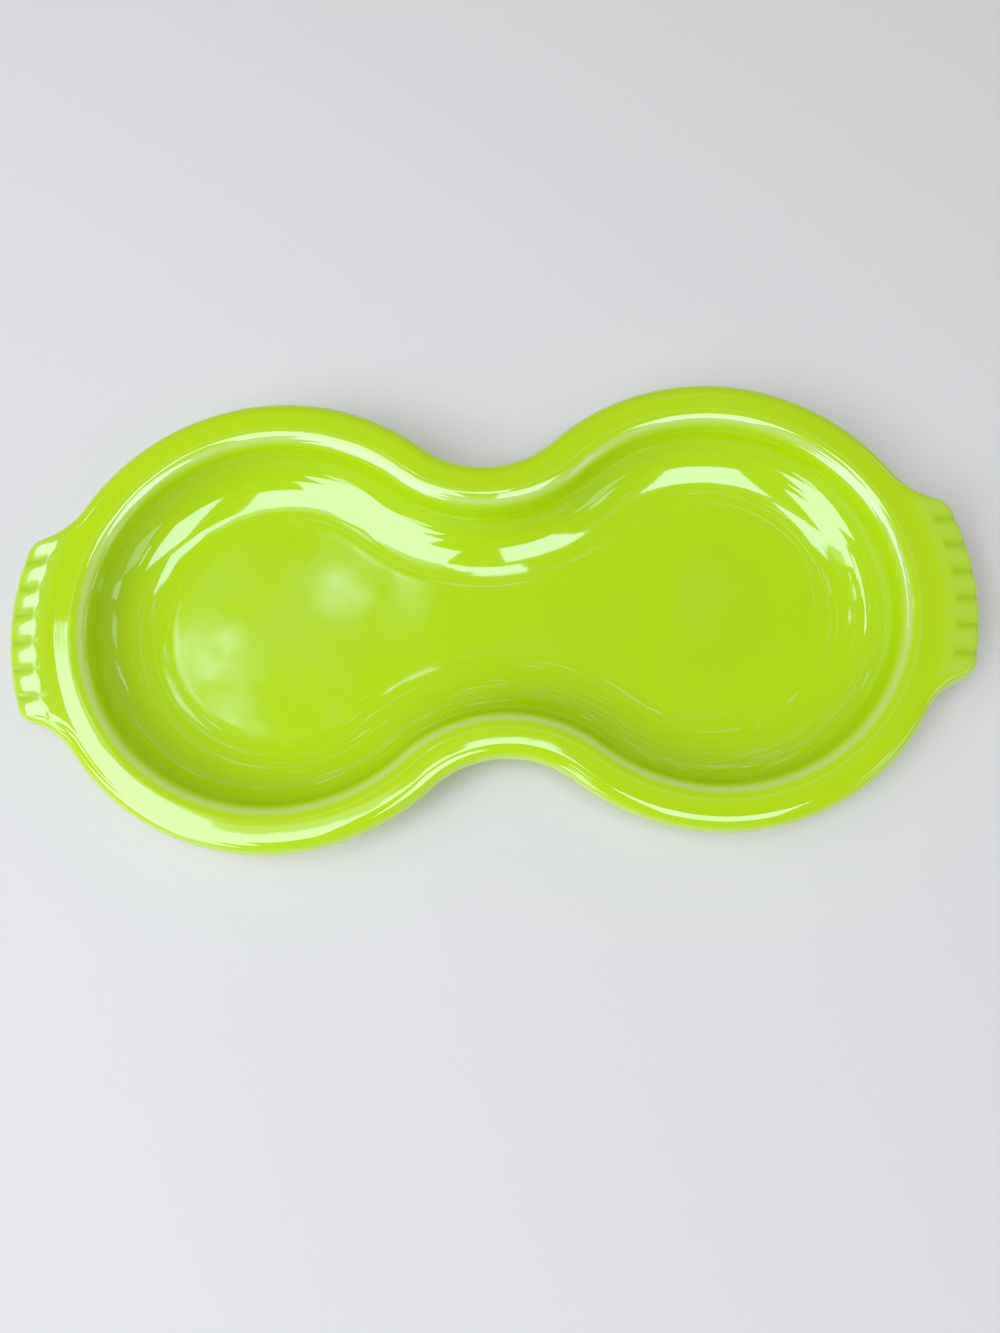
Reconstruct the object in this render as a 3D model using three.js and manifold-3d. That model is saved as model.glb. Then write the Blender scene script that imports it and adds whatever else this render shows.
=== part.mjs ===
// Sugar and creamer tray: a glazed figure-eight dish with a wide rim and a lug handle at each end.
// Millimetres. +X runs along the tray and +Z is up. The origin is on the table, under the middle of the foot.
import * as THREE from "three";
import { mergeVertices } from "three/addons/utils/BufferGeometryUtils.js";
import Module from "manifold-3d";

const wasm = await Module();
wasm.setup();

// Plan of the rim's outer edge: two round lobes, drawn in at the waist
const lobeRadius = 63.5;
const lobeSpacing = 119.7;
const waistRadius = 29;

// Rim: an outward flange with a rolled edge, a crease, and a narrow lip round the well
const trayHeight = 19;
const rimThickness = 4.6;
const flangeWidth = 7.5;
const flangeFall = 0.8;
const flangeCrown = 0.25;
const edgeRound = 2.4;
const creaseStep = 0.25;
const creaseWidth = 0.6;
const lipWidth = 4.1;
const lipRound = 1.4;

// Well: a leaning wall that sweeps into the floor in one wide cove
const wallDraftDegrees = 24;
const coveRadius = 15;
const bodyThickness = 4.2;
const rebateDepth = 2.1;
const shoulderReach = 3.5;
const shoulderDrop = 4;

// Seats: a round shallow sinking in the floor of each lobe
const seatRadius = 30;
const seatDepth = 0.6;
const seatSlopeWidth = 2;

// Foot ring
const footHeight = 1.4;
const footWidth = 4.5;
const footRound = 0.7;

// Handles: a lug at each end, with a row of pads parted by grooves
const handleReach = 8.4;
const handleWidth = 52.8;
const handleCornerRadius = 6.5;
const handleFlareRadius = 20;
const handleRootLand = 2.5;
const padCount = 7;
const padPitch = 7.6;
const padLength = 8;
const padLand = 1;
const grooveDepth = 0.9;

// Clearance between pieces that are let into each other
const jointGap = 0.3;

// Facets
const lobeSteps = 44;
const waistSteps = 14;
const curveSteps = 3;
const crownSteps = 2;
const seatSteps = 48;

const glazeGreen = 0xb6de2d;
const bareClay = 0xe9e2cf;

// Places that follow from the sizes above
const lobeCentre = lobeSpacing / 2;
const waistCentre = Math.sqrt((lobeRadius + waistRadius) ** 2 - lobeCentre ** 2);
const rimUnder = trayHeight - rimThickness;
const creaseHeight = trayHeight - creaseStep;
const shoulderHeight = creaseHeight - flangeFall;
const edgeHeight = (rimUnder + shoulderHeight) / 2;
const lipEdge = flangeWidth + lipWidth;
const floorHeight = footHeight + bodyThickness;
const rebateHeight = floorHeight - rebateDepth;

// The wall leans from the lip to the cove, and the cove's arc is tangent to the wall and to the floor.
const draft = THREE.MathUtils.degToRad(wallDraftDegrees);
const coveHeight = floorHeight + coveRadius;
const wallFoot = coveHeight - coveRadius * Math.sin(draft);
const coveOffset = wallOffset(wallFoot) + coveRadius * Math.cos(draft);
const outerRadius = coveRadius + bodyThickness;
const outerWallFoot = coveHeight - outerRadius * Math.sin(draft);

// Offset of the leaning wall's inner face, inward from the rim's outer edge, at a height
function wallOffset(height) {
  return lipEdge + (trayHeight - height) * Math.tan(draft);
}

// Angle, about the cove's centre, of the point at a height on an arc of a radius
function coveAngle(height, radius) {
  return Math.PI + Math.asin((coveHeight - height) / radius);
}

// Inner face of the well at a height
function innerOffset(height) {
  if (height > wallFoot) {
    return wallOffset(height);
  }
  return coveOffset + coveRadius * Math.cos(coveAngle(height, coveRadius));
}

// Outer face of the well at a height: the inner face moved out by the body's thickness
function outerOffset(height) {
  if (height > outerWallFoot) {
    return wallOffset(height) - bodyThickness / Math.cos(draft);
  }
  return coveOffset + outerRadius * Math.cos(coveAngle(height, outerRadius));
}

// Height of the flange's top between its rolled edge and the crease
function flangeHeight(edge, offset) {
  const shoulder = edge + edgeRound;
  const share = (offset - shoulder) / (flangeWidth - shoulder);
  return THREE.MathUtils.lerp(shoulderHeight, creaseHeight, share) + 2 * share * (1 - share) * flangeCrown;
}

// Points along one arc of the outer edge. An offset inward only changes the radius about the arc's centre.
function arcStations(centre, radius, inward, from, to, steps) {
  const stations = [];
  for (let i = 0; i < steps; i += 1) {
    const angle = THREE.MathUtils.lerp(from, to, i / steps);
    stations.push({ centre, radius, inward, angle });
  }
  return stations;
}

// The whole figure-eight edge, anticlockwise from the right lobe
function outlineStations() {
  const turn = Math.atan2(waistCentre, lobeCentre);
  const right = new THREE.Vector2(lobeCentre, 0);
  const left = new THREE.Vector2(-lobeCentre, 0);
  const far = new THREE.Vector2(0, waistCentre);
  const near = new THREE.Vector2(0, -waistCentre);
  return [
    ...arcStations(right, lobeRadius, -1, turn - Math.PI, Math.PI - turn, lobeSteps),
    ...arcStations(far, waistRadius, 1, -turn, turn - Math.PI, waistSteps),
    ...arcStations(left, lobeRadius, -1, turn, 2 * Math.PI - turn, lobeSteps),
    ...arcStations(near, waistRadius, 1, Math.PI - turn, turn, waistSteps),
  ];
}

const outline = outlineStations();

// A point at a station, moved inward by an offset
function stationPoint(station, offset, height) {
  const reach = station.radius + station.inward * offset;
  const x = station.centre.x + reach * Math.cos(station.angle);
  const y = station.centre.y + reach * Math.sin(station.angle);
  return new THREE.Vector3(x, y, height);
}

// Points of a closed section, anticlockwise, with the closing point left out
function sectionPoints(section) {
  const points = section.getPoints(curveSteps);
  if (points[0].distanceTo(points[points.length - 1]) < 1e-6) {
    points.pop();
  }
  if (THREE.ShapeUtils.isClockWise(points)) {
    points.reverse();
  }
  return points;
}

// Skins a row of closed loops. Without flat end loops the row joins up with its own start.
function loft(loops, firstEnd, lastEnd) {
  const count = loops[0].length;
  const rows = firstEnd ? loops.length - 1 : loops.length;
  const index = [];
  for (let row = 0; row < rows; row += 1) {
    const nextRow = (row + 1) % loops.length;
    for (let i = 0; i < count; i += 1) {
      const j = (i + 1) % count;
      const a = row * count + i;
      const b = row * count + j;
      const c = nextRow * count + i;
      const d = nextRow * count + j;
      index.push(a, b, d, a, d, c);
    }
  }
  if (firstEnd) {
    const lastStart = (loops.length - 1) * count;
    for (const [a, b, c] of THREE.ShapeUtils.triangulateShape(firstEnd, [])) {
      index.push(a, c, b);
    }
    for (const [a, b, c] of THREE.ShapeUtils.triangulateShape(lastEnd, [])) {
      index.push(lastStart + a, lastStart + b, lastStart + c);
    }
  }
  const geometry = new THREE.BufferGeometry();
  geometry.setFromPoints(loops.flat());
  geometry.setIndex(index);
  return geometry;
}

// Sweeps a section, given by offset and height, round the whole figure-eight
function sweepRound(section) {
  const points = sectionPoints(section);
  return loft(outline.map((station) => points.map((p) => stationPoint(station, p.x, p.y))));
}

// A closed mesh as a solid that can be cut
function toSolid(geometry) {
  const bare = geometry.clone();
  bare.deleteAttribute("normal");
  bare.deleteAttribute("uv");
  const welded = mergeVertices(bare);
  const vertProperties = new Float32Array(welded.attributes.position.array);
  const triVerts = new Uint32Array(welded.index.array);
  return new wasm.Manifold(new wasm.Mesh({ numProp: 3, vertProperties, triVerts }));
}

function toGeometry(solid) {
  const mesh = solid.getMesh();
  const geometry = new THREE.BufferGeometry();
  geometry.setAttribute("position", new THREE.BufferAttribute(mesh.vertProperties, 3));
  geometry.setIndex(new THREE.BufferAttribute(mesh.triVerts, 1));
  return geometry;
}

// Draws the flat underside, the rolled edge and the crowned top of the flange, as far in as its root.
function drawFlange(section, edge, root) {
  const shoulder = edge + edgeRound;
  const middle = (shoulder + root) / 2;
  const crown = (shoulderHeight + creaseHeight) / 2 + flangeCrown;
  section.lineTo(shoulder, rimUnder);
  section.quadraticCurveTo(edge, rimUnder, edge, edgeHeight);
  section.quadraticCurveTo(edge, shoulderHeight, shoulder, shoulderHeight);
  section.quadraticCurveTo(middle, crown, root, creaseHeight);
}

// Plan of a handle in its lobe's frame: the lobe's edge, a flare, a round corner and the end, then back again
function handlePlan() {
  const endRadius = lobeRadius + handleReach;
  const cornerY = handleWidth / 2 - handleCornerRadius;
  const cornerX = Math.sqrt((endRadius - handleCornerRadius) ** 2 - cornerY ** 2);
  const corner = new THREE.Vector2(cornerX, cornerY);
  const toCorner = corner.length();
  const toFlare = lobeRadius + handleFlareRadius;
  const between = handleCornerRadius + handleFlareRadius;
  const spread = Math.acos((toCorner ** 2 + toFlare ** 2 - between ** 2) / (2 * toCorner * toFlare));
  const flareAngle = corner.angle() + spread;
  const flare = new THREE.Vector2(toFlare * Math.cos(flareAngle), toFlare * Math.sin(flareAngle));
  const meet = corner.clone().sub(flare).angle();
  const rootAngle = flareAngle + handleRootLand / lobeRadius;
  const plan = new THREE.Path();
  plan.absarc(0, 0, lobeRadius, -rootAngle, -flareAngle, false);
  plan.absarc(flare.x, -flare.y, handleFlareRadius, Math.PI - flareAngle, -meet, true);
  plan.absarc(corner.x, -corner.y, handleCornerRadius, Math.PI - meet, -corner.angle(), false);
  plan.absarc(0, 0, endRadius, -corner.angle(), corner.angle(), false);
  plan.absarc(corner.x, corner.y, handleCornerRadius, corner.angle(), meet - Math.PI, false);
  plan.absarc(flare.x, flare.y, handleFlareRadius, meet, flareAngle - Math.PI, true);
  plan.absarc(0, 0, lobeRadius, flareAngle, rootAngle, false);
  return { plan, rootAngle, endRadius };
}

const handle = handlePlan();

// The bite in the rim's flange that a handle's root fills
function handleNotch() {
  const halfAngle = handle.rootAngle + jointGap / lobeRadius;
  const bite = new THREE.Shape();
  bite.absarc(0, 0, lobeRadius - flangeWidth, -halfAngle, halfAngle, false);
  bite.absarc(0, 0, handle.endRadius, halfAngle, -halfAngle, true);
  bite.closePath();
  const block = new THREE.ExtrudeGeometry(bite, { depth: 3 * rimThickness, bevelEnabled: false });
  return block.translate(lobeCentre, 0, rimUnder - rimThickness);
}

function rimGeometry() {
  const section = new THREE.Shape();
  section.moveTo(innerOffset(rimUnder), rimUnder);
  drawFlange(section, 0, flangeWidth);
  section.lineTo(flangeWidth + creaseWidth, trayHeight);
  section.lineTo(lipEdge - lipRound, trayHeight);
  const rollEnd = trayHeight - lipRound;
  section.quadraticCurveTo(lipEdge, trayHeight, wallOffset(rollEnd), rollEnd);
  section.closePath();
  const ring = toSolid(sweepRound(section));
  const rightNotch = handleNotch();
  const leftNotch = rightNotch.clone().rotateZ(Math.PI);
  return toGeometry(ring.subtract(toSolid(rightNotch)).subtract(toSolid(leftNotch)));
}

// The wall stands in the floor's rebate. Its top spreads into a shoulder that carries the rim and handles.
function wallGeometry() {
  const coveTop = Math.min(rimUnder, wallFoot);
  const shoulderFoot = Math.min(rimUnder - shoulderDrop, outerWallFoot);
  const bendHeight = (rimUnder + shoulderFoot) / 2;
  const floorEnd = 1.5 * Math.PI;
  const outerStart = coveAngle(rebateHeight, outerRadius);
  const outerEnd = coveAngle(shoulderFoot, outerRadius);
  const section = new THREE.Shape();
  section.moveTo(innerOffset(rimUnder), rimUnder);
  section.absarc(coveOffset, coveHeight, coveRadius, coveAngle(coveTop, coveRadius), floorEnd, false);
  section.lineTo(coveOffset, rebateHeight);
  section.absarc(coveOffset, coveHeight, outerRadius, outerStart, outerEnd, true);
  section.quadraticCurveTo(
    outerOffset(bendHeight),
    bendHeight,
    outerOffset(rimUnder) - shoulderReach,
    rimUnder,
  );
  section.closePath();
  return sweepRound(section);
}

// The floor slab: its edge carries on the bowl's outer curve, and a rebate round its top takes the wall.
function floorGeometry() {
  const levels = [];
  for (let i = 0; i <= curveSteps; i += 1) {
    const angle = THREE.MathUtils.lerp(1.5 * Math.PI, coveAngle(rebateHeight, outerRadius), i / curveSteps);
    const offset = coveOffset + outerRadius * Math.cos(angle);
    levels.push(new THREE.Vector2(offset, coveHeight + outerRadius * Math.sin(angle)));
  }
  levels.push(new THREE.Vector2(coveOffset + jointGap, rebateHeight));
  levels.push(new THREE.Vector2(coveOffset + jointGap, floorHeight));
  const loops = levels.map((level) => outline.map((station) => stationPoint(station, level.x, level.y)));
  let slab = toSolid(loft(loops, loops[0], loops[loops.length - 1]));
  for (const side of [-1, 1]) {
    const seat = new THREE.LatheGeometry(seatProfile(), seatSteps);
    seat.rotateX(Math.PI / 2).translate(side * lobeCentre, 0, floorHeight);
    slab = slab.subtract(toSolid(seat));
  }
  return toGeometry(slab);
}

// Half section of a seat's sinking, from the middle of its bed up its sloping edge and past the floor
function seatProfile() {
  return [
    new THREE.Vector2(0, -seatDepth),
    new THREE.Vector2(seatRadius, -seatDepth),
    new THREE.Vector2(seatRadius + 2 * seatSlopeWidth, seatDepth),
    new THREE.Vector2(0, seatDepth),
  ];
}

// The foot stands just inside the turn of the bowl's outer curve.
function footGeometry() {
  const outer = coveOffset + jointGap;
  const inner = outer + footWidth;
  const section = new THREE.Shape();
  section.moveTo(outer, footHeight);
  section.lineTo(outer, footRound);
  section.lineTo(outer + footRound, 0);
  section.lineTo(inner - footRound, 0);
  section.lineTo(inner, footRound);
  section.lineTo(inner, footHeight);
  section.closePath();
  return sweepRound(section);
}

// Section of a handle: the flange's own section, drawn out to an edge beyond the lobe
function handleSection(edge) {
  const root = flangeWidth - jointGap;
  const section = new THREE.Shape();
  section.moveTo(root, rimUnder);
  drawFlange(section, edge, root);
  section.closePath();
  return sectionPoints(section);
}

// A groove between two pads: two pad crowns meet in it, and it sinks with the lug's own top.
function grooveGeometry(across) {
  const edge = -handleReach;
  const padStart = edge + padLength;
  const startHeight = flangeHeight(edge, padStart);
  const endHeight = flangeHeight(edge, edge + edgeRound);
  const tilt = Math.atan2(startHeight - endHeight, padLength - edgeRound);
  const half = padPitch / 2;
  const crownRadius = (half ** 2 + grooveDepth ** 2) / (2 * grooveDepth);
  const valley = Math.acos(half / crownRadius);
  const brow = Math.acos(padLand / 2 / crownRadius);
  const cut = new THREE.Shape();
  cut.absarc(-half, -crownRadius, crownRadius, brow, valley, true);
  cut.absarc(half, -crownRadius, crownRadius, Math.PI - valley, Math.PI - brow, true);
  cut.lineTo(half - padLand / 2, grooveDepth);
  cut.lineTo(padLand / 2 - half, grooveDepth);
  cut.closePath();
  const groove = new THREE.ExtrudeGeometry(cut, {
    depth: padLength + edgeRound,
    bevelEnabled: false,
    curveSegments: crownSteps,
  });
  const start = Math.sqrt((handle.endRadius - padLength) ** 2 - across ** 2);
  groove.rotateX(Math.PI / 2).rotateZ(Math.PI / 2).rotateY(tilt);
  return groove.translate(start, across, startHeight);
}

function handleGeometry() {
  const sections = handle.plan.getPoints(curveSteps).map((p) => {
    const angle = p.angle();
    const section = handleSection(lobeRadius - p.length());
    return section.map((q) => {
      const reach = lobeRadius - q.x;
      return new THREE.Vector3(reach * Math.cos(angle), reach * Math.sin(angle), q.y);
    });
  });
  const end = handleSection(0);
  let lug = toSolid(loft(sections, end, end));
  for (let i = 1; i < padCount; i += 1) {
    lug = lug.subtract(toSolid(grooveGeometry((i - padCount / 2) * padPitch)));
  }
  return toGeometry(lug).translate(lobeCentre, 0, 0);
}

const glaze = new THREE.MeshStandardMaterial({ color: glazeGreen, roughness: 0.08, metalness: 0 });
const clay = new THREE.MeshStandardMaterial({ color: bareClay, roughness: 0.85, metalness: 0 });

const tray = new THREE.Group();

function addPiece(name, geometry, material) {
  const mesh = new THREE.Mesh(geometry, material);
  mesh.name = name;
  tray.add(mesh);
  return mesh;
}

addPiece("foot_ring", footGeometry(), clay);
addPiece("well_floor", floorGeometry(), glaze);
addPiece("well_wall", wallGeometry(), glaze);
addPiece("rim", rimGeometry(), glaze);
addPiece("right_handle", handleGeometry(), glaze);
addPiece("left_handle", handleGeometry(), glaze).rotation.z = Math.PI;

export default tray;
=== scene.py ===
# %% [markdown]
# # A sugar and creamer tray
#
# The tray is one casting of glazed earthenware: two round lobes that run together at a waist, with a wide
# rim, a coved well and a ribbed lug at each end. The CAD model has it as members that seat on each other.
# Here it gets the unbroken, softly rounded skin that a slip casting has under a thick coat of glaze.
#
# Everything starts from the imported CAD model, which is loaded as a fixed frame in metres.

# %% Load the frame
import math

import bmesh
import bpy
from mathutils import Matrix, Vector
from mathutils.geometry import interpolate_bezier


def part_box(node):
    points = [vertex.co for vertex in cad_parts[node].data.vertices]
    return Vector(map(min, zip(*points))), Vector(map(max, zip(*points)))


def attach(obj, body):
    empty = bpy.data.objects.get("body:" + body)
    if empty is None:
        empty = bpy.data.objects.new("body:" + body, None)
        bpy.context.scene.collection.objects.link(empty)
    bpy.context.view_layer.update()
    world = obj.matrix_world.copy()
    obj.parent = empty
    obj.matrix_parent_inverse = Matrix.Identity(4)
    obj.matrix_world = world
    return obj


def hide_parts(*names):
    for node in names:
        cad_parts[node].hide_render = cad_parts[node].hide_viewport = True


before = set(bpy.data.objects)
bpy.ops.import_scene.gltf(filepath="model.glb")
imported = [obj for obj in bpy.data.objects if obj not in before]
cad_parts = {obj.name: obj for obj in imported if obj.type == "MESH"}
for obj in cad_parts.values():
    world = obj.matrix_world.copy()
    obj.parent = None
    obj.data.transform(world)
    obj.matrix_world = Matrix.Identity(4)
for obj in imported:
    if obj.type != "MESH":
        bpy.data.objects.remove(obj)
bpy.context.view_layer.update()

MM = 0.001

# %% [markdown]
# ## The plan
#
# Seen from above, the rim's outer edge is four arcs: a lobe at each end, and a hollow arc on each side of
# the waist that meets both lobes without a corner. An outline traced point by point would carry the
# tracing's wobble. Four arcs need only three sizes, and an edge moved inward keeps the same centres. So one
# section, spun round these centres in turn, makes the whole tray.

# %% Plan sizes
lobe_radius = 63.5 * MM
lobe_centre = Vector((59.85 * MM, 0, 0))
waist_radius = 29 * MM
waist_centre = Vector((0, math.sqrt((lobe_radius + waist_radius) ** 2 - lobe_centre.x ** 2), 0))
waist_turn = math.atan2(lobe_centre.x, waist_centre.y)
lobe_turn = math.pi / 2 + waist_turn
_, rim_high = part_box("rim")
print("half width of the CAD rim, mm:", round(rim_high.y / MM, 2))
print("a lobe turns", round(math.degrees(lobe_turn), 1), "degrees from its end to the waist")

# %% [markdown]
# ## The section
#
# Cut the tray across its rim and the cut face shows the potter's profile: a flat seat, a wide cove, a
# leaning wall, a rounded lip, a fine crease, a crowned flange with a rolled edge, and the bowl's outside
# below. It could be a subdivided cage, but a cage rounds everything alike. Arcs and Bezier bends let each
# turn keep its own radius. A point is (offset, height) in millimetres, with the offset measured inward from
# the rim's outer edge. The section runs from the middle of a seat, out over the rim and back under to the
# foot. A bend's two handles say how it leaves its start and comes in to its end.

# %% Section helpers
section = []
stretch_of = []


def draw(stretch, points):
    """Adds points to the section, and notes which stretch of it each one belongs to."""
    section.extend(points)
    stretch_of.extend([stretch] * len(points))
    print(f"{stretch}: {len(points)} rows, ends at {section[-1].x:.2f}, {section[-1].y:.2f} mm")


def straight(start, end, rows):
    return [start.lerp(end, row / rows) for row in range(1, rows + 1)]


def arc(centre, radius, start, end, rows):
    turns = [math.radians(start + (end - start) * row / rows) for row in range(1, rows + 1)]
    return [centre + radius * Vector((math.cos(turn), math.sin(turn))) for turn in turns]


def bend(start, handles, end, rows):
    corners = [Vector(corner) for corner in (start, *handles, end)]
    return interpolate_bezier(*corners, rows + 1)[1:]


# %% Seat, cove and wall
tray_height = 19.0
seat_height = 5.0
seat_middle = Vector((lobe_radius / MM, seat_height))
seat_edge = Vector((34.0, seat_height))
cove_bend = Vector((20.0, 7.77))
wall_foot = Vector((13.61, 14.5))
lip_foot = Vector((12.8, 16.3))
low_cove_handles = ((28.8, seat_height), (24.13, 5.75))
high_cove_handles = ((17.39, 9.04), (14.67, 12.12))
floor_rows, cove_rows, wall_rows = 10, 16, 4

draw("floor", [seat_middle] + straight(seat_middle, seat_edge, floor_rows))
draw("cove", bend(seat_edge, low_cove_handles, cove_bend, cove_rows))
draw("cove", bend(cove_bend, high_cove_handles, wall_foot, cove_rows))
draw("wall", straight(wall_foot, lip_foot, wall_rows))

# %% Lip, crease and flange
crease = Vector((8.2, 18.89))
crown = Vector((4.2, tray_height))
shoulder = Vector((1.64, 18.49))
edge = Vector((0, 16.4))
lip_handles = ((12.11, 17.85), (9.9, 18.74))
flange_handles = ((6.87, 18.963), (5.53, tray_height))
brow_handles = ((3.2, tray_height), (2.33, 18.81))
roll_handles = ((0.61, 18.01), (0, 17.24))
lip_rows, flange_rows, brow_rows, roll_rows = 16, 14, 30, 8

draw("lip", bend(lip_foot, lip_handles, crease, lip_rows))
draw("flange", bend(crease, flange_handles, crown, flange_rows))
draw("brow", bend(crown, brow_handles, shoulder, brow_rows))
draw("roll", bend(shoulder, roll_handles, edge, roll_rows))

# %% Underside and bowl
under_height = 14.4
under = Vector((2.3, under_height))
under_root = Vector((5.2, under_height))
bowl_top = Vector((11.04, 10.4))
bowl_centre = Vector((27.31, 20.6))
bowl_radius = 19.2
bowl_start = math.degrees(math.atan2(bowl_top.y - bowl_centre.y, bowl_top.x - bowl_centre.x)) % 360
bowl_end = 270
under_roll_handles = ((0, 15.3), (0.95, under_height))
fillet_handles = ((8.2, under_height), (9.66, 12.6))
under_roll_rows, under_rows, fillet_rows, bowl_rows = 6, 3, 7, 14

draw("under_roll", bend(edge, under_roll_handles, under, under_roll_rows))
draw("under", straight(under, under_root, under_rows))
draw("fillet", bend(under_root, fillet_handles, bowl_top, fillet_rows))
draw("bowl", arc(bowl_centre, bowl_radius, bowl_start, bowl_end, bowl_rows))
print("section:", len(section), "rows")

# %% [markdown]
# ## Spinning a quarter of the tray
#
# The tray is the same on both sides of its length and of its width, so only a quarter is made. The section
# stands at the tray's right end and is spun about the lobe's centre up to the waist. Then it is spun the
# other way about the waist's own centre, as far as the middle of the tray. A profile swept along a curve
# could do the same, but a spin follows each arc exactly. The steps are fine where the lug will be and
# coarser elsewhere. Each vertex keeps the number of its row in the section, because the later steps shape
# and tint whole rows.

# %% Spin helpers
def stand_section(bm, points, row_tag):
    """Stands a section up at the right end of the lobe, and numbers its rows."""
    chain = []
    for row, point in enumerate(points):
        vertex = bm.verts.new(lobe_centre + Vector((lobe_radius - point.x * MM, 0, point.y * MM)))
        vertex[row_tag] = row
        chain.append(vertex)
    return chain + [bm.edges.new(pair) for pair in zip(chain, chain[1:])]


def spin(bm, geom, centre, angle, steps):
    made = bmesh.ops.spin(
        bm, geom=geom, cent=centre, axis=(0, 0, 1), angle=angle, steps=steps, use_merge=False
    )
    return made["geom_last"]


def rows_from(geom, row_tag, first):
    """Keeps the vertices and edges of a section from one of its rows onward."""
    kept = []
    for item in geom:
        corners = [item] if isinstance(item, bmesh.types.BMVert) else item.verts
        if all(corner[row_tag] >= first for corner in corners):
            kept.append(item)
    return kept


# %% Spin the quarter
pad_turn = math.radians(22)
lug_turn = math.radians(35)
pad_steps, lug_steps, lobe_steps, waist_steps = 60, 20, 46, 30

tray = bmesh.new()
row_tag = tray.verts.layers.int.new("row")
geom = stand_section(tray, section, row_tag)
geom = spin(tray, geom, lobe_centre, pad_turn, pad_steps)
geom = spin(tray, geom, lobe_centre, lug_turn - pad_turn, lug_steps)
geom = spin(tray, geom, lobe_centre, lobe_turn - lug_turn, lobe_steps)
geom = rows_from(geom, row_tag, floor_rows)
spin(tray, geom, waist_centre, -waist_turn, waist_steps)
print("quarter:", len(tray.faces), "faces")

# %% [markdown]
# ## The floor of the waist
#
# A spin about the waist's centre can't reach the middle of the floor, so a corner of it is still open
# between the lobe's last radius and the foot of the cove. A single flat face would close it, but the seats'
# soft edges need rows to bend. So a line of vertices is laid along the middle of the tray, bridged to the
# foot of the cove, and the bridge is cut into as many rows as the lobe's floor has.

# %% Bridge the waist's floor
def on_cove_foot(line):
    """Whether an edge lies open along the foot of the cove."""
    in_row = all(vertex[row_tag] == floor_rows for vertex in line.verts)
    return line.is_boundary and in_row and line.calc_length() > 0


tray_middle = Vector((0, 0, seat_height * MM))
lobe_middle = lobe_centre + tray_middle
spine_shares = [step / waist_steps for step in range(waist_steps + 1)]
spine = [tray.verts.new(lobe_middle.lerp(tray_middle, share)) for share in spine_shares]
spine_edges = [tray.edges.new(pair) for pair in zip(spine, spine[1:])]
cove_edges = [line for line in tray.edges if on_cove_foot(line)]
bridge = bmesh.ops.bridge_loops(tray, edges=spine_edges + cove_edges)
crossings = [line for line in bridge["edges"] if sum(vertex in spine for vertex in line.verts) == 1]
bmesh.ops.subdivide_edges(tray, edges=crossings, cuts=floor_rows - 1, use_grid_fill=True)
print("bridge:", len(bridge["faces"]), "strips,", len(crossings), "lines across")

# %% [markdown]
# ## Drawing out the lug
#
# At each end the rim's flange runs out into a lug that a finger and thumb can hold: an end arc, a round
# corner and a hollow flare back to the lobe. It could be a separate plate, but then a seam would have to be
# hidden. Clay has no seam, so the spun flange itself is pulled out. The plan gives the edge's point and its
# outward direction at each angle. The rolled edge keeps its section along the new outline, and the rows
# between it and the crease share the stretch.

# %% Plan of the lug
end_radius = 71.9 * MM
lug_half_width = 26.4 * MM
corner_radius = 6.5 * MM
flare_radius = 20 * MM

corner_y = lug_half_width - corner_radius
corner = Vector((math.sqrt((end_radius - corner_radius) ** 2 - corner_y ** 2), corner_y))
to_flare = lobe_radius + flare_radius
between = corner_radius + flare_radius
spread = math.acos((corner.length ** 2 + to_flare ** 2 - between ** 2) / (2 * corner.length * to_flare))
corner_turn = math.atan2(corner.y, corner.x)
flare_turn = corner_turn + spread
flare = to_flare * Vector((math.cos(flare_turn), math.sin(flare_turn)))
meet = flare.lerp(corner, flare_radius / between)
meet_turn = math.atan2(meet.y, meet.x)
for name, turn in (("corner", corner_turn), ("flare", flare_turn)):
    print("the lug's", name, "is centred at", round(math.degrees(turn), 1), "degrees")


# %% Edge of the lug
def lug_edge(turn):
    """Point of the lug's edge at an angle in the lobe's plan, and the way outward from it."""
    ray = Vector((math.cos(turn), math.sin(turn)))
    if turn <= corner_turn:
        return end_radius * ray, ray
    if turn <= meet_turn:
        along = corner.dot(ray)
        point = ray * (along + math.sqrt(corner_radius ** 2 - corner.length_squared + along ** 2))
        return point, (point - corner).normalized()
    if turn <= flare_turn:
        along = flare.dot(ray)
        point = ray * (along - math.sqrt(flare_radius ** 2 - flare.length_squared + along ** 2))
        return point, (flare - point).normalized()
    return lobe_radius * ray, ray


print("the lug's edge reaches", round(lug_edge(0)[0].length / MM, 2), "mm from the lobe's centre")


# %% Pull the flange out
def pulled(offset, turn, root):
    """Plan point of an offset in millimetres, when the rim from its root outward follows the lug's edge."""
    point, outward = lug_edge(turn)
    if offset <= shoulder.x:
        return point - outward * offset * MM
    start = (lobe_radius - root * MM) * Vector((math.cos(turn), math.sin(turn)))
    share = (root - offset) / (root - shoulder.x)
    return start.lerp(point - outward * shoulder.x * MM, share)


roots = {"brow": crown.x, "roll": crown.x, "under_roll": under_root.x, "under": under_root.x}
moved = 0
for vertex in tray.verts:
    root = roots.get(stretch_of[vertex[row_tag]])
    plan = (vertex.co - lobe_centre).xy
    turn = math.atan2(plan.y, plan.x)
    if root is None or turn > flare_turn:
        continue
    offset = section[vertex[row_tag]].x
    vertex.co.xy = pulled(offset, turn, root) + lobe_centre.xy
    moved += 1
print("pulled", moved, "vertices; the lug ends at", round(max(v.co.x for v in tray.verts) / MM, 2), "mm")
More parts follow.
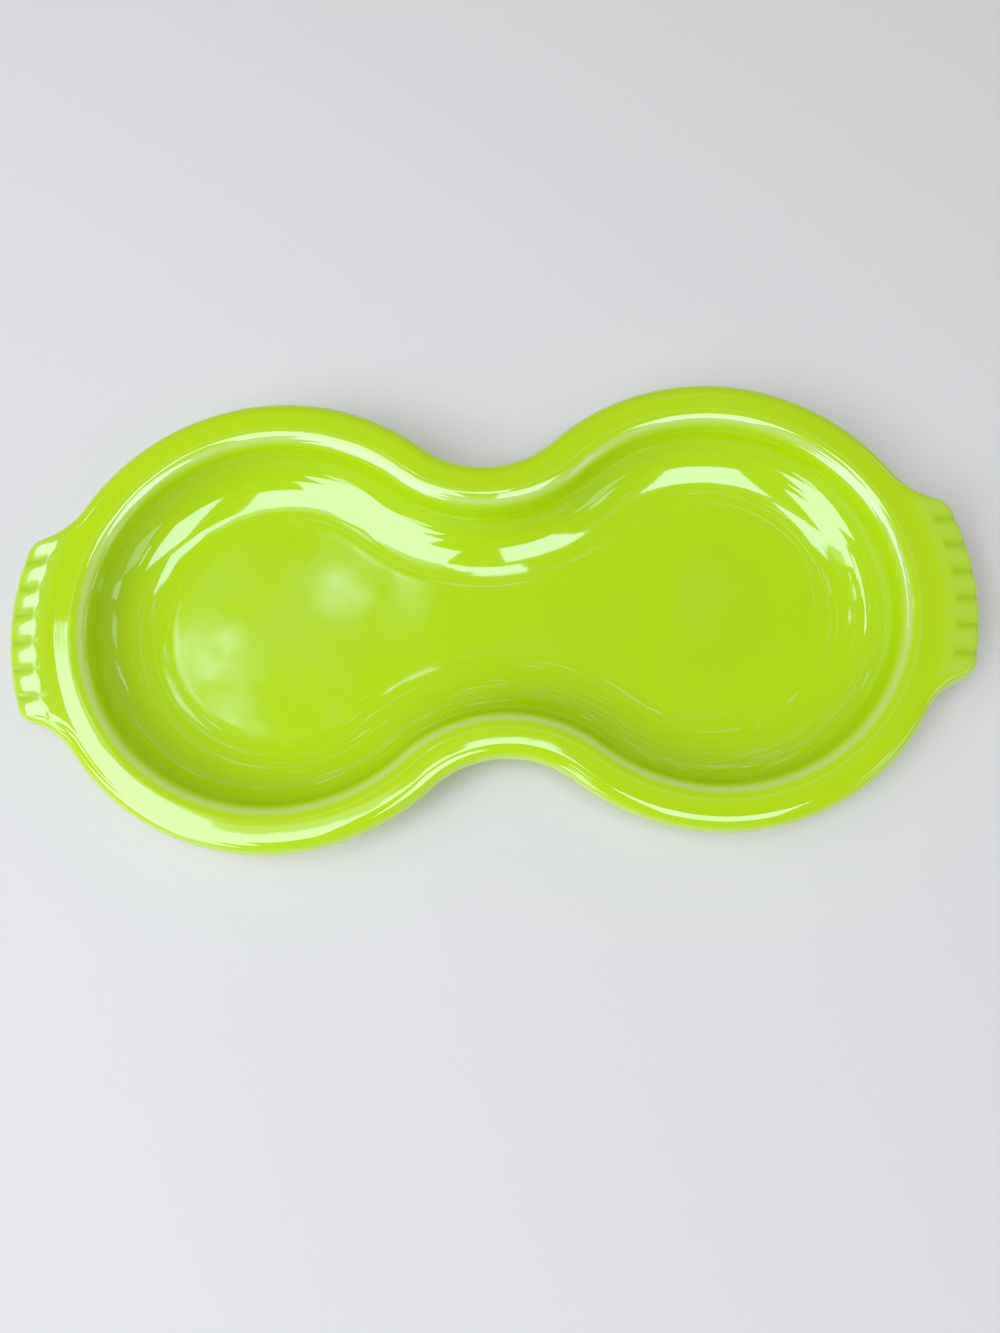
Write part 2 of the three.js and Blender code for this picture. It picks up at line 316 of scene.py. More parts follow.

# %% [markdown]
# ## The pads
#
# On the lug the rim's crown gives way to a plate. It dips a little outside the crease, rises to a faint
# ledge and then falls away to a tight round edge. Grooves run out over that fall, deeper and deeper, and
# leave seven pads between them, each with rounded ends. Cutting them out of a flat plate would leave hard
# edges that no glaze has. So the top is set by two smooth formulas: one along the lug, a table of slopes
# that is summed up into a height, and one across it, flat on the pads and sharp in the grooves. Past the
# corner of the lug the plate gives way to the rim's own crown slowly, over a fifth of a turn, so that no
# kink shows in the long highlight there.
#
# Each vertex also stores what the glaze does there: `groove` where it gathers, `crest` where it runs thin
# and a painted sheen pales the pads and the ledge, and `dull` where dust and wear take the shine off a
# groove.

# %% Profile along the lug
def smooth_step(value, low, high):
    share = min(max((value - low) / (high - low), 0), 1)
    return share * share * (3 - 2 * share)


def way_out(plan):
    """Way of a plan point outward from the crease, in millimetres."""
    return (plan.length - lobe_radius) / MM + crease.x


# Way outward from the crease in millimetres, and how steeply the plate falls there in degrees
plate_slopes = (
    (0, 2.2), (3.8, 2.2), (4.4, -2.6), (8.2, -2.6), (8.8, 3.5), (14.0, 5.0), (14.6, 8.0), (15.6, 12.0)
)


def plate_height(way):
    """Height of the lug's top at a way outward from the crease."""
    height = crease.y
    for (start, slope), (end, end_slope) in zip(plate_slopes, plate_slopes[1:]):
        run = min(max(way - start, 0), end - start)
        mean_slope = slope + (end_slope - slope) * run / (end - start) / 2
        height -= run * math.tan(math.radians(mean_slope))
    return height


for way, _ in plate_slopes:
    print("plate", way, "mm outside the crease:", round(plate_height(way), 2), "mm high")

# %% Places among the pads
pad_count = 7
pad_pitch = 7.6
last_pad = pad_pitch * (pad_count - 1) / 2
row_end = 24.5
row_fade = 3.0
pad_middle = 11.8
inner_rounding = 0.65
outer_rounding = 0.2
rounding_start = (6.0, 9.8)
rounding_change = (9.0, 14.0)


def beside_pad(plan):
    """Place from a pad's middle line, 0, to the next groove, 1, and how fully it is in the row of pads."""
    across = abs(plan.y) / MM
    beside = abs(2 * (across / pad_pitch - round(across / pad_pitch)))
    return beside, 1 - smooth_step(across, row_end, row_end + row_fade)


def rounded_way(plan):
    """Way out from the crease, stretched beside a pad's middle line, which rounds the ends of the pads."""
    way = way_out(plan)
    beside, in_row = beside_pad(plan)
    rounding = inner_rounding + (outer_rounding - inner_rounding) * smooth_step(way, *rounding_change)
    return way + (way - pad_middle) * rounding * beside ** 2 * smooth_step(way, *rounding_start) * in_row


print(pad_count, "pads; the outer ones lie", round(last_pad, 1), "mm from the lug's middle line")

# %% Grooves and crests
groove_depth = 0.4
groove_start = 9.0
groove_full = 15.0
groove_tint = (8.5, 10.5)
groove_dull = (7.6, 8.6)
crest_rise = (5.0, 11.0)
ledge_way = 7.5
ledge_reach = 2.0
ledge_share = 0.5


def pads_at(plan):
    """Depth of a plan point below a pad's crest in millimetres, and the glaze's marks, from 0 to 1; crest is
    partly painted sheen.
    """
    way = way_out(plan)
    beside, in_row = beside_pad(plan)
    deepening = min(max((way - groove_start) / (groove_full - groove_start), 0), 1)
    lowered = groove_depth * deepening * beside ** 4 * in_row
    between_pads = abs(plan.y) / MM < last_pad
    ledge = ledge_share * (1 - smooth_step(abs(way - ledge_way), 0, ledge_reach))
    marks = {
        "groove": beside ** 3 * smooth_step(way, *groove_tint) if between_pads else 0,
        "crest": max((1 - beside ** 2) * smooth_step(way, *crest_rise), ledge) * in_row,
        "dull": beside ** 4 * smooth_step(way, *groove_dull) * in_row,
    }
    return lowered, marks


groove_line = Vector((math.sqrt(end_radius ** 2 - (pad_pitch / 2 * MM) ** 2), pad_pitch / 2 * MM))
print("at its outer end a groove is", round(pads_at(groove_line)[0], 2), "mm deep")

# %% Shape the lug
plate_full = math.radians(16)
plate_end = math.radians(85)
scallop = 0.35
scallop_ease = 0.5
pad_tags = {name: tray.verts.layers.float.new(name) for name in ("groove", "crest", "dull")}


def flat_at(plan, height, pulled_out):
    """Height of the plate at a plan point, rounded off as the rim is where there is no lug."""
    return plate_height(rounded_way(plan)) + min(height - crown.y, 0) * (1 - pulled_out)


for vertex in tray.verts:
    stretch = stretch_of[vertex[row_tag]]
    plan = (vertex.co - lobe_centre).xy
    turn = math.atan2(plan.y, plan.x)
    if turn > plate_end or stretch not in ("flange", "brow", "roll", "under_roll"):
        continue
    point = section[vertex[row_tag]]
    edge_point, outward = lug_edge(turn)
    pulled_out = (edge_point.length - lobe_radius) / (end_radius - lobe_radius)
    on_top = 1
    if stretch == "flange":
        change = plate_height(way_out(plan)) - point.y
    elif stretch == "brow":
        change = flat_at(plan, point.y, pulled_out) - point.y
    else:
        on_top = smooth_step(point.y, edge.y, shoulder.y)
        shoulder_plan = edge_point - outward * shoulder.x * MM
        change = (flat_at(shoulder_plan, shoulder.y, pulled_out) - shoulder.y) * on_top
    lowered, marks = pads_at(plan)
    for name, mark in marks.items():
        vertex[pad_tags[name]] = mark * on_top
    vertex.co.z += ((1 - smooth_step(turn, plate_full, plate_end)) * change - lowered * on_top) * MM
    if stretch in ("roll", "under_roll"):
        drawn_in = scallop * lowered / groove_depth * smooth_step(point.y, under.y, edge.y)
        vertex.co.xy -= plan.normalized() * drawn_in * (1 - scallop_ease * on_top) * MM
for name, tag in pad_tags.items():
    print(name, "reaches", round(max(v[tag] for v in tray.verts), 2))

# %% [markdown]
# ## Closing the tray
#
# The mould has two sides that match, and so has the tray. The other quarters could be spun like the first,
# but mirrors keep them exactly alike. So the quarter is mirrored across and along, and the doubled vertices
# on the mirror planes and at the seats' middles are merged. That leaves one hole, the flat ground under the
# bowl, which is closed with a single face.

# %% Mirror and merge
merge_distance = 1e-6


def mirror_quarter(bm):
    for axis in "YX":
        everything = bm.verts[:] + bm.edges[:] + bm.faces[:]
        bmesh.ops.mirror(bm, geom=everything, merge_dist=merge_distance, axis=axis)
    bmesh.ops.remove_doubles(bm, verts=bm.verts[:], dist=merge_distance)


mirror_quarter(tray)
open_edges = [line for line in tray.edges if line.is_boundary]
print("open edges before filling:", len(open_edges))

# %% Fill the underside
bmesh.ops.edgeloop_fill(tray, edges=open_edges, mat_nr=0, use_smooth=True)
bmesh.ops.recalc_face_normals(tray, faces=tray.faces[:])
print("open edges after filling:", sum(line.is_boundary for line in tray.edges), "faces:", len(tray.faces))

# %% [markdown]
# ## The saddle
#
# The flat bottom of each lobe is the seat that a sugar bowl or a creamer stands on. Between the seats, at
# the waist, the floor swells up by less than half a millimetre. A bump map could fake that, but the mesh
# would then lack it. Only the reflections show the swelling, so it is a soft rise and not a step. It fades
# out towards the seats, and up the cove.

# %% Raise the saddle
saddle_rise = 0.45
saddle_full = 10.0
saddle_end = 31.0
saddle_top = 18.0


def inset_at(spot):
    """Distance of a point from the rim's plain outer edge, in millimetres."""
    plan = Vector((abs(spot.x), abs(spot.y)))
    from_lobe = plan - lobe_centre.xy
    if math.atan2(from_lobe.y, from_lobe.x) < lobe_turn:
        return (lobe_radius - from_lobe.length) / MM
    return ((plan - waist_centre.xy).length - waist_radius) / MM


def saddle_at(spot):
    along = 1 - smooth_step(abs(spot.x) / MM, saddle_full, saddle_end)
    return saddle_rise * along * smooth_step(inset_at(spot), saddle_top, seat_edge.x)


for vertex in tray.verts:
    if stretch_of[vertex[row_tag]] in ("floor", "cove"):
        vertex.co.z += saddle_at(vertex.co) * MM
print("rise in the middle, mm:", round(saddle_at(Vector()), 2))

# %% [markdown]
# ## Where the glaze is thin or thick, and painted light and shade
#
# Melted glaze draws back from sharp turns and gathers in hollows. On this tray the lip's inner edge is
# paler, because the white body shows through, and the grooves are deeper in colour. The rolled edge, the
# crease and the pads are paler too, partly from thin glaze and partly as a painted highlight, and the whole
# well gets a deeper green as painted shade. A bake of the surface's curvature could give that, but it
# depends on the mesh. The rows already say what each vertex is, so they store how pale and how deep the
# glaze is there, and
# `inset`, the way along the section, for marks that follow the rim.

# %% Thickness and painted light along the section
lip_line, lip_line_width = 11.0, 0.8
# The pale lines on the crease and the rolled edge are partly thin glaze and partly painted highlight.
crease_width, crease_thin_and_sheen = 0.25, 0.3
roll_line, roll_line_width, roll_thin_and_sheen = 17.2, 0.9, 0.9
# The whole well's deeper green is painted shade.
well_shade = 0.175


def near(value, middle, width):
    return math.exp(-((value - middle) / width) ** 2)


def thin_and_sheen_on(stretch, point):
    """How pale the glaze is at a point of the section, from 0 to about 1: thin glaze, and painted highlight
    on the crease and the rolled edge.
    """
    at_crease = crease_thin_and_sheen * near(point.x, crease.x, crease_width)
    if stretch in ("lip", "wall"):
        return near(point.x, lip_line, lip_line_width) + at_crease
    if stretch in ("roll", "under_roll"):
        return roll_thin_and_sheen * near(point.y, roll_line, roll_line_width)
    if stretch == "flange":
        return at_crease
    return 0


row_thin_and_sheen = [thin_and_sheen_on(stretch, point) for stretch, point in zip(stretch_of, section)]
row_well_shade = [well_shade if stretch in ("floor", "cove") else 0 for stretch in stretch_of]
print("thinnest glaze along the section:", round(max(row_thin_and_sheen), 2))

# %% Store the glaze's thickness and painted light
# The pads' crests and their ledge are paled partly for thin glaze and partly as painted sheen.
crest_thin_and_sheen = 0.25
thin_and_sheen_tag = tray.verts.layers.float.new("thin_and_sheen")
pooled_and_shade_tag = tray.verts.layers.float.new("pooled_and_shade")
inset_tag = tray.verts.layers.float.new("inset")
for vertex in tray.verts:
    row = vertex[row_tag]
    groove, crest = vertex[pad_tags["groove"]], vertex[pad_tags["crest"]]
    vertex[thin_and_sheen_tag] = max(row_thin_and_sheen[row], crest_thin_and_sheen * crest) * (1 - groove)
    vertex[pooled_and_shade_tag] = max(row_well_shade[row], groove)
    vertex[inset_tag] = min(section[row].x, seat_edge.x)
print("stored", len(tray.verts), "values each of", thin_and_sheen_tag.name, pooled_and_shade_tag.name, inset_tag.name)

# %% [markdown]
# ## The foot
#
# The tray stands on a narrow ring of bare clay, wiped clean of glaze before firing so that it doesn't stick
# to the kiln shelf. It could be cut from the bowl's own mesh, but its clay is another finish, so it is a
# piece of its own that follows the bowl's figure-eight. Its section is a small bar, spun and mirrored as
# the tray is, with its lower corners rounded by a bevel.

# %% Spin the foot
foot_top = 1.4
foot_outer = 27.61
foot_inner = 32.11
foot_lobe_steps, foot_waist_steps = 52, 16

foot = bmesh.new()
foot_tag = foot.verts.layers.int.new("row")
foot_corners = [(foot_outer, foot_top), (foot_outer, 0), (foot_inner, 0), (foot_inner, foot_top)]
geom = stand_section(foot, [Vector(point) for point in foot_corners], foot_tag)
geom.append(foot.edges.new((geom[3], geom[0])))
geom = spin(foot, geom, lobe_centre, lobe_turn, foot_lobe_steps)
spin(foot, geom, waist_centre, -waist_turn, foot_waist_steps)
mirror_quarter(foot)
bmesh.ops.recalc_face_normals(foot, faces=foot.faces[:])
print("foot:", len(foot.faces), "faces,", sum(line.is_boundary for line in foot.edges), "open edges")

# %% Round the foot
foot_round = 0.7
ground_height = 0.1 * MM
facing_down = -0.5

ground_edges = [line for line in foot.edges if all(vertex.co.z < ground_height for vertex in line.verts)]
corner_edges = [
    line for line in ground_edges if len({face.normal.z < facing_down for face in line.link_faces}) == 2
]
bmesh.ops.bevel(
    foot,
    geom=corner_edges,
    offset=foot_round * MM,
    offset_type="OFFSET",
    segments=4,
    profile=0.5,
    affect="EDGES",
    material=-1,
)
print("rounded", len(corner_edges), "edges of the foot")

# %% [markdown]
# ## Pieces on the frame
#
# A mesh becomes a piece when it rides on a body of the CAD model. The tray is one rigid body, so both
# pieces ride on it, and each hides the CAD nodes that it stands for.

# %% Make the pieces
def make_piece(name, bm, slot, *nodes):
    for face in bm.faces:
        face.smooth = True
    mesh = bpy.data.meshes.new(name)
    bm.to_mesh(mesh)
    bm.free()
    piece = bpy.data.objects.new(name, mesh)
    bpy.context.scene.collection.objects.link(piece)
    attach(piece, "root")
    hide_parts(*nodes)
    print(name, len(mesh.polygons), "faces")
    return piece


glazed_tray = make_piece(
    "glazed_tray", tray, "lime_glaze", "well_floor", "well_wall", "rim", "left_handle", "right_handle"
)
clay_foot = make_piece("clay_foot", foot, "bare_clay", "foot_ring")

# %% [markdown]
# ## Node helpers
#
# The materials are node trees. A few small helpers keep their cells readable: one places a node with its
# settings and joins, one reads what the mesh stored, one mixes two colours, one maps a part of a value's
# range to another, and the rest do sums and make noise.

# %% Node helpers
def place(tree, kind, inputs=None, **settings):
    made = tree.nodes.new(kind)
    for name, value in settings.items():
        setattr(made, name, value)
    for name, value in (inputs or {}).items():
        if isinstance(value, bpy.types.NodeSocket):
            tree.links.new(value, made.inputs[name])
        else:
            made.inputs[name].default_value = value
    return made


def stored(tree, name):
    return place(tree, "ShaderNodeAttribute", attribute_name=name).outputs["Fac"]


def mix_colours(tree, factor, first, second):
    made = place(tree, "ShaderNodeMix", {"Factor": factor, "A": first, "B": second}, data_type="RGBA")
    return made.outputs["Result"]


def remap(tree, value, low, high, to_low=0.0, to_high=1.0):
    limits = {"Value": value, "From Min": low, "From Max": high, "To Min": to_low, "To Max": to_high}
    return place(tree, "ShaderNodeMapRange", limits).outputs["Result"]


def combine(tree, operation, first, second):
    return place(tree, "ShaderNodeMath", {0: first, 1: second}, operation=operation).outputs["Value"]


def times(tree, first, second):
    return combine(tree, "MULTIPLY", first, second)


def plus(tree, first, second):
    return combine(tree, "ADD", first, second)


def noise(tree, vector, scale, detail=2.0, roughness=0.5):
    inputs = {"Vector": vector, "Scale": scale, "Detail": detail, "Roughness": roughness}
    return place(tree, "ShaderNodeTexNoise", inputs).outputs["Fac"]


def new_material(name):
    material = bpy.data.materials.new(name)
    material.use_nodes = True
    tree = material.node_tree
    return material, tree, tree.nodes["Principled BSDF"]


# %% [markdown]
# ## Specks
#
# Earthenware clay carries grains of iron, and a few of them burn through the glaze as pin-point dark
# specks. They could be painted, but both finishes need them, at different sizes, so they are a node group.
# A Voronoi pattern scatters one point in each cell. The cell's own random colour decides whether its point
# becomes a speck, and the distance to it draws the dot.

# %% Speck group
specks = bpy.data.node_groups.new("specks", "ShaderNodeTree")
for name in ("Scale", "Size", "Share"):
    specks.interface.new_socket(name, in_out="INPUT", socket_type="NodeSocketFloat")
specks.interface.new_socket("Mask", in_out="OUTPUT", socket_type="NodeSocketFloat")
given = place(specks, "NodeGroupInput").outputs
where = place(specks, "ShaderNodeTexCoord").outputs["Object"]
cells = place(specks, "ShaderNodeTexVoronoi", {"Vector": where, "Scale": given["Scale"]}).outputs
dot = remap(specks, cells["Distance"], given["Size"], 0.0)
lot = place(specks, "ShaderNodeSeparateColor", {"Color": cells["Color"]}).outputs["Red"]
chosen = combine(specks, "LESS_THAN", lot, given["Share"])
place(specks, "NodeGroupOutput", {"Mask": times(specks, dot, chosen)})
print("speck group:", len(specks.nodes), "nodes")

# %% [markdown]
# ## The glaze
#
# The glaze is coloured glass, fired smooth over a white body. One flat colour would look like plastic. On
# the real tray the colour drifts gently from place to place, breaks pale where the coat is thin and deepens
# where it gathers. Over that the whole well gets a deeper green as painted shade, and faint pale streaks
# run along the cove and the rim as a painted sheen of the fine ridges where the wet coat was dragged. A
# painted texture could hold all this, but it would need a map of the tray. Here each is a mask that leans
# the colour one way or the other.

# %% Drifts and streaks
lime = (0.555, 0.785, 0.002, 1)
# The deep green also paints the shade of the well.
deep_lime = (0.40, 0.65, 0.0, 1)
# The pale green also paints highlight and sheen on the crease, the rolled edge, the pads and the streaks.
pale_lime = (0.62, 0.80, 0.16, 1)
drift_scale, drift_range, drift_share = 24, (0.4, 0.65), 0.13
# The streaks' pale colour is a painted sheen; the same noise also bumps the glaze.
streak_scale, streak_sheen_range, streak_sheen_share = 14, (0.56, 0.72), 0.16
streak_detail, streak_roughness = 3, 0.6
streak_closeness = 0.06

lime_glaze, tree, glass = new_material("lime_glaze")
where = place(tree, "ShaderNodeTexCoord").outputs["Object"]
spot = place(tree, "ShaderNodeSeparateXYZ", {"Vector": where}).outputs
inset = stored(tree, "inset")
drift = remap(tree, noise(tree, where, drift_scale, 3), *drift_range)
rim_place = {"X": spot["X"], "Y": spot["Y"], "Z": times(tree, inset, streak_closeness)}
along_rim = place(tree, "ShaderNodeCombineXYZ", rim_place).outputs["Vector"]
streak = noise(tree, along_rim, streak_scale, streak_detail, streak_roughness)
streak_sheen = remap(tree, streak, *streak_sheen_range)

drifting = mix_colours(tree, times(tree, drift, drift_share), lime, deep_lime)
# Painted shade over the well, and real pooling of the glaze in the grooves.
deepened_and_shaded = mix_colours(tree, stored(tree, "pooled_and_shade"), drifting, deep_lime)
# Painted sheen along the streaks.
streak_sheened = mix_colours(tree, times(tree, streak_sheen, streak_sheen_share), deepened_and_shaded, pale_lime)
print("glaze with its drifts and streaks:", len(tree.nodes), "nodes")

# %% [markdown]
# ## Painted glints along the cove
#
# Short pale painted glints run along the cove and follow the rim. They reach high up the near side and
# stay low on the far side. Glints drawn one by one would be many, so two noises are stretched along the
# rim: one of short glints and one of long ones. Across the rim they follow the stored `inset`, which bends
# them round the lobes and the waist.

# %% Paint glints in the cove
glint_pale = (0.74, 0.86, 0.42, 1)
far_side, near_side = 12 * MM, -12 * MM
far_top, near_top, top_fade = 21, 13, 3
seat_start, seat_fade_end = 33.9, 31
glint_softness = 0.06
# Glints in a metre along the rim and in a millimetre across it, noise level at which they start, and
# strength
glint_kinds = ((60, 1.6, 0.67, 0.35), (16, 2.6, 0.68, 0.25))

glint_top = remap(tree, spot["Y"], far_side, near_side, far_top, near_top)
below_top = remap(tree, inset, glint_top, plus(tree, glint_top, top_fade))
in_cove = times(tree, below_top, remap(tree, inset, seat_start, seat_fade_end))
glinted = streak_sheened
for in_metre, in_millimetre, level, strength in glint_kinds:
    flattened = {0: where, 1: (in_metre, in_metre, 0)}
    lengthwise = place(tree, "ShaderNodeVectorMath", flattened, operation="MULTIPLY").outputs["Vector"]
    lift = {"Z": times(tree, inset, in_millimetre)}
    crosswise = place(tree, "ShaderNodeCombineXYZ", lift).outputs["Vector"]
    pattern = place(tree, "ShaderNodeVectorMath", {0: lengthwise, 1: crosswise}, operation="ADD")
    mark = remap(tree, noise(tree, pattern.outputs["Vector"], 1, 1), level, level + glint_softness)
    # Each kind lays pale painted glints on the colour.
    glinted = mix_colours(tree, times(tree, times(tree, mark, in_cove), strength), glinted, glint_pale)
print("glaze with", len(glint_kinds), "kinds of marks:", len(tree.nodes), "nodes")

# %% Thin glaze, painted highlight and specks
speck_brown = (0.10, 0.13, 0.01, 1)
glaze_specks = {"Scale": 55, "Size": 0.016, "Share": 0.05}

# Pale where the glaze is thin, with painted highlight on the crease, the rolled edge and the pads.
thinned_and_sheened = mix_colours(tree, stored(tree, "thin_and_sheen"), glinted, pale_lime)
speck = place(tree, "ShaderNodeGroup", glaze_specks, node_tree=specks).outputs["Mask"]
tree.links.new(mix_colours(tree, speck, thinned_and_sheened, speck_brown), glass.inputs["Base Color"])
print("glaze colour:", len(tree.nodes), "nodes")

# %% [markdown]
# ## Gloss
#
# A fired gloss glaze mirrors the studio, but not perfectly: its surface has the faint waviness that potters
# call orange peel, and use leaves hair-fine scuffs that dull it a little, most of all on the seats and in
# the grooves. The waves are too small to model, so they go into a bump map, and the scuffs into the
# roughness. Glazes with metal oxides bend light more than window glass does, so the index of refraction is
# set above the usual 1.5.

# %% Waviness
glaze_index = 1.7
peel_scale = 260
streak_height = 0.8
wave_strength = 0.5
wave_height = 0.02 * MM

glass.inputs["IOR"].default_value = glaze_index
waves = plus(tree, noise(tree, where, peel_scale, 1), times(tree, streak, streak_height))
bump = {"Height": waves, "Strength": wave_strength, "Distance": wave_height}
tree.links.new(place(tree, "ShaderNodeBump", bump).outputs["Normal"], glass.inputs["Normal"])
print("waves up to", round(wave_height / MM, 2), "mm high")

# %% Scuffs and wear
fresh_roughness = 0.05
scuff_turn, scuff_scale, scuff_range = (0, 0, 0.7), (40, 900, 40), (0.66, 0.78)
wear_start, wear_full = 27, 33
wear_scale, wear_range = 90, (0.35, 0.65)
scuff_share, wear_share, dull_share = 0.1, 0.1, 0.3

turned = place(tree, "ShaderNodeMapping", {"Vector": where, "Rotation": scuff_turn, "Scale": scuff_scale})
scuff = remap(tree, noise(tree, turned.outputs["Vector"], 1, 2), *scuff_range)
patches = remap(tree, noise(tree, where, wear_scale, 4), *wear_range)
wear = times(tree, remap(tree, inset, wear_start, wear_full), patches)
roughness = fresh_roughness
for mask, share in ((wear, wear_share), (scuff, scuff_share), (stored(tree, "dull"), dull_share)):
    roughness = plus(tree, times(tree, mask, share), roughness)
tree.links.new(roughness, glass.inputs["Roughness"])
glazed_tray.data.materials.append(lime_glaze)
print("glaze:", len(tree.nodes), "nodes")

# %% [markdown]
# ## Bare clay
#
# The foot's clay is matt and slightly gritty. Its colour wanders a little and iron specks show in it. A
# picture of clay could be wrapped round it, but noise in the object's own space needs no map and has no
# seam.

# %% Clay material
cream = (0.80, 0.75, 0.62, 1)
warm_cream = (0.70, 0.62, 0.47, 1)
iron = (0.30, 0.20, 0.12, 1)
clay_specks = {"Scale": 420, "Size": 0.16, "Share": 0.25}
wander_scale, wander_range = 60, (0.35, 0.7)
grit_scale, grit_range, grit_roughness = 1800, (0.3, 0.7), (0.75, 0.95)
grit_strength, grit_height = 0.6, 0.05 * MM

bare_clay, tree, earth = new_material("bare_clay")
where = place(tree, "ShaderNodeTexCoord").outputs["Object"]
wander = remap(tree, noise(tree, where, wander_scale, 4), *wander_range)
tinted = mix_colours(tree, wander, cream, warm_cream)
speck = place(tree, "ShaderNodeGroup", clay_specks, node_tree=specks).outputs["Mask"]
tree.links.new(mix_colours(tree, speck, tinted, iron), earth.inputs["Base Color"])
grit = noise(tree, where, grit_scale, 3)
tree.links.new(remap(tree, grit, *grit_range, *grit_roughness), earth.inputs["Roughness"])
bump = {"Height": grit, "Strength": grit_strength, "Distance": grit_height}
tree.links.new(place(tree, "ShaderNodeBump", bump).outputs["Normal"], earth.inputs["Normal"])
clay_foot.data.materials.append(bare_clay)
print("clay:", len(tree.nodes), "nodes")

# %% [markdown]
# ## Floor
#
# A plain pale floor carries the tray's soft shadow. Photographers often use a curved backdrop, but from
# above a flat sheet looks the same. It isn't part of the object. Its paint is slightly warm, to balance the
# cool light.

# %% Floor
floor_size = 4
floor_cream = (0.82, 0.76, 0.60, 1)
floor_roughness = 0.9

floor_bm = bmesh.new()
bmesh.ops.create_grid(floor_bm, x_segments=1, y_segments=1, size=floor_size)
floor_mesh = bpy.data.meshes.new("floor")
floor_bm.to_mesh(floor_mesh)
floor_bm.free()
floor = bpy.data.objects.new("floor", floor_mesh)
bpy.context.scene.collection.objects.link(floor)
floor_paint, _, paint = new_material("floor_paint")
paint.inputs["Base Color"].default_value = floor_cream
paint.inputs["Roughness"].default_value = floor_roughness
floor.data.materials.append(floor_paint)
print("floor reaches", round(max(vertex.co.x for vertex in floor_mesh.vertices), 1), "m each way")

# %% [markdown]
# ## Studio light
#
# A glossy dish shows its lights, so their place matters more than their strength. One big panel would light
# the tray as well, but its mirror image would fill the whole cove. So the light is cut into softboxes that
# hang in one plane, each for a highlight, with plain glaze between them. Those overhead and on the right
# draw the bright bands in the far coves and the line on the lip. Those on the left lay the sheen on the
# near left rim and the ovals on the left lug's pads. A stepped row of small ones carries the fine line
# round the near waist. Dimmed ones give the sheen a soft inner edge, and leave hazy patches on the left
# seat and glints in the left cove and on the right lug.
#
# The world around them is an even, slightly warm fill, a little stronger near the horizon than overhead, so
# that the walls of the well don't go dark.

# %% Softboxes
panel_height = 1.2
panel_radiance = 6.35
cool_white = (0.62, 0.70, 1.0)

# Left and right edge, near and far edge in metres, and share of the full brightness
softboxes = {
    "overhead_softbox": (-0.70, -0.18, -0.35, 0.045, 1),
    "waist_softbox": (-0.70, -0.40, 0.045, 0.15, 1),
    "near_rim_softbox": (-0.40, -0.18, 0.045, 0.07, 1),
    "soft_edge_softbox": (-0.40, -0.18, 0.07, 0.15, 0.22),
    "near_bend_softbox": (-0.18, -0.12, 0.02, 0.10, 1),
    "near_turn_softbox": (-0.12, -0.05, 0.02, 0.135, 1),
    "near_waist_softbox": (-0.05, 0.10, 0.02, 0.19, 1),
    "rolled_edge_softbox": (-1.90, -1.30, -2.05, -1.40, 0.6),
    "right_softbox": (0.06, 0.50, -0.50, -0.05, 1),
    "near_softbox": (-0.70, -0.42, -0.70, -0.35, 1),
    "left_softbox": (-0.78, -0.70, -0.35, 0.0, 1),
    "far_left_softbox": (-1.00, -0.78, -0.35, -0.10, 1),
    "low_left_softbox": (-1.90, -0.70, -1.40, -0.35, 1),
    "low_right_softbox": (1.40, 2.80, -1.30, -0.45, 0.28),
    "near_cove_softbox": (0.98, 1.20, -0.55, -0.28, 0.45),
    "corner_softbox": (-0.70, -0.62, 0.15, 0.235, 1),
    "flange_softbox": (-0.76, -0.70, 0.15, 0.375, 1),
    "band_softbox": (-0.78, -0.76, 0.15, 0.315, 1),
    "pad_softbox": (-0.97, -0.81, 0.0, 0.75, 1),
    "seat_softbox": (-0.46, -0.38, 0.27, 0.35, 0.6),
    "near_seat_softbox": (-0.43, -0.37, 0.19, 0.24, 0.5),
    "far_seat_softbox": (-0.26, -0.19, 0.37, 0.43, 0.6),
    "low_cove_softbox": (2.60, 4.60, -0.40, 0.10, 0.4),
    "middle_cove_softbox": (1.90, 2.90, 0.40, 0.95, 0.3),
    "far_cove_softbox": (1.50, 2.40, 1.30, 1.60, 0.4),
}

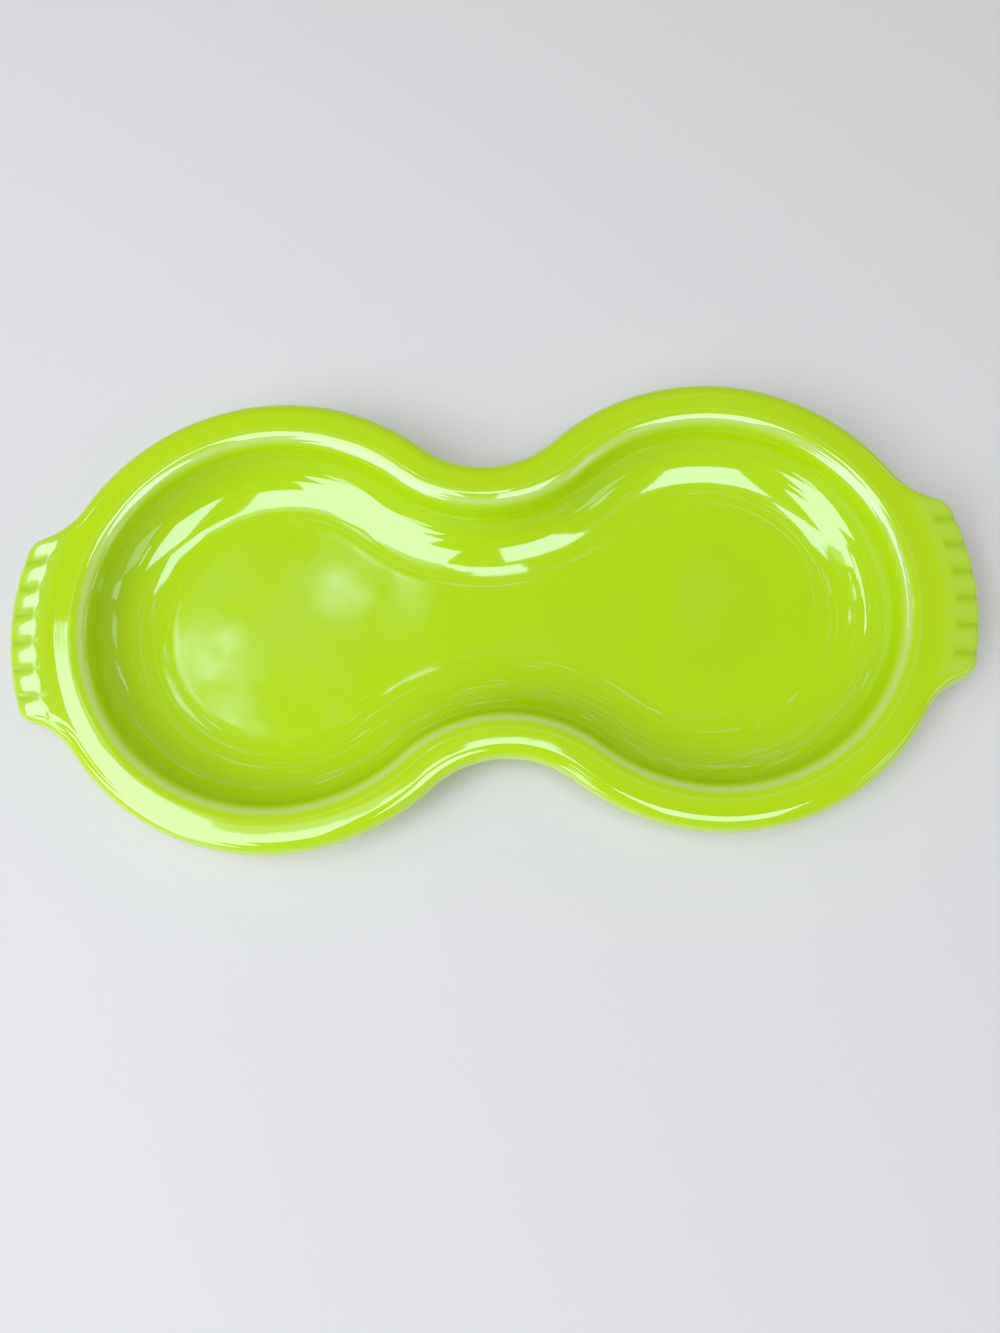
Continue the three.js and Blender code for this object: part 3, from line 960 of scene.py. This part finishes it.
for name, (left, right, near_edge, far_edge, share) in softboxes.items():
    width, depth = right - left, far_edge - near_edge
    lamp = bpy.data.lights.new(name, "AREA")
    lamp.shape = "RECTANGLE"
    lamp.size, lamp.size_y = width, depth
    lamp.energy = share * panel_radiance * math.pi * width * depth
    lamp.color = cool_white
    softbox = bpy.data.objects.new(name, lamp)
    softbox.location = ((left + right) / 2, (near_edge + far_edge) / 2, panel_height)
    bpy.context.scene.collection.objects.link(softbox)
    print(name, round(lamp.energy, 2), "W")

# %% World
warm_white = (1, 0.95, 0.84, 1)
horizon_level, zenith_level = 0.34, 0.2
horizon_rise, zenith_rise = 0.2, 0.5

world = bpy.data.worlds.new("studio")
bpy.context.scene.world = world
world.use_nodes = True
tree = world.node_tree
sky = tree.nodes["Background"]
view = place(tree, "ShaderNodeTexCoord").outputs["Generated"]
rise = place(tree, "ShaderNodeSeparateXYZ", {"Vector": view}).outputs["Z"]
level = remap(tree, rise, horizon_rise, zenith_rise, horizon_level, zenith_level)
tree.links.new(level, sky.inputs["Strength"])
sky.inputs["Color"].default_value = warm_white
print("world: level", horizon_level, "at the horizon and", zenith_level, "overhead")

# %% [markdown]
# ## Camera
#
# The camera stands close above the near side of the tray, as in the photograph. Its place, tilt and focal
# length come from fitting the rim's outline, because a camera set by eye would leave the lobes in a wrong
# perspective.

# %% Camera
focal_pixels = 1000
image_height = 1333
sensor_size = 36
pitch = 1.339087
roll = -0.01512
yaw = -0.03340
distance = 269.27 * MM
target = Vector((0.53 * MM, -16.36 * MM, 16.2 * MM))
nearest_view = 10 * MM

forward = Vector((0, math.cos(pitch), -math.sin(pitch)))
upward = Vector((0, math.sin(pitch), math.cos(pitch)))
rightward = Vector((1, 0, 0))
rightward, upward = (
    math.cos(roll) * rightward + math.sin(roll) * upward,
    math.cos(roll) * upward - math.sin(roll) * rightward,
)
turn = Matrix.Rotation(yaw, 3, "Z")
axes = Matrix((turn @ rightward, turn @ upward, turn @ -forward)).transposed()
eye = target - turn @ forward * distance
lens = bpy.data.cameras.new("camera")
lens.sensor_width = sensor_size
lens.lens = sensor_size * focal_pixels / image_height
lens.clip_start = nearest_view
camera = bpy.data.objects.new("camera", lens)
camera.matrix_world = Matrix.Translation(eye) @ axes.to_4x4()
bpy.context.scene.collection.objects.link(camera)
bpy.context.scene.camera = camera
bpy.context.scene.view_settings.view_transform = "Standard"
print("camera at, mm:", [round(c / MM, 1) for c in eye])
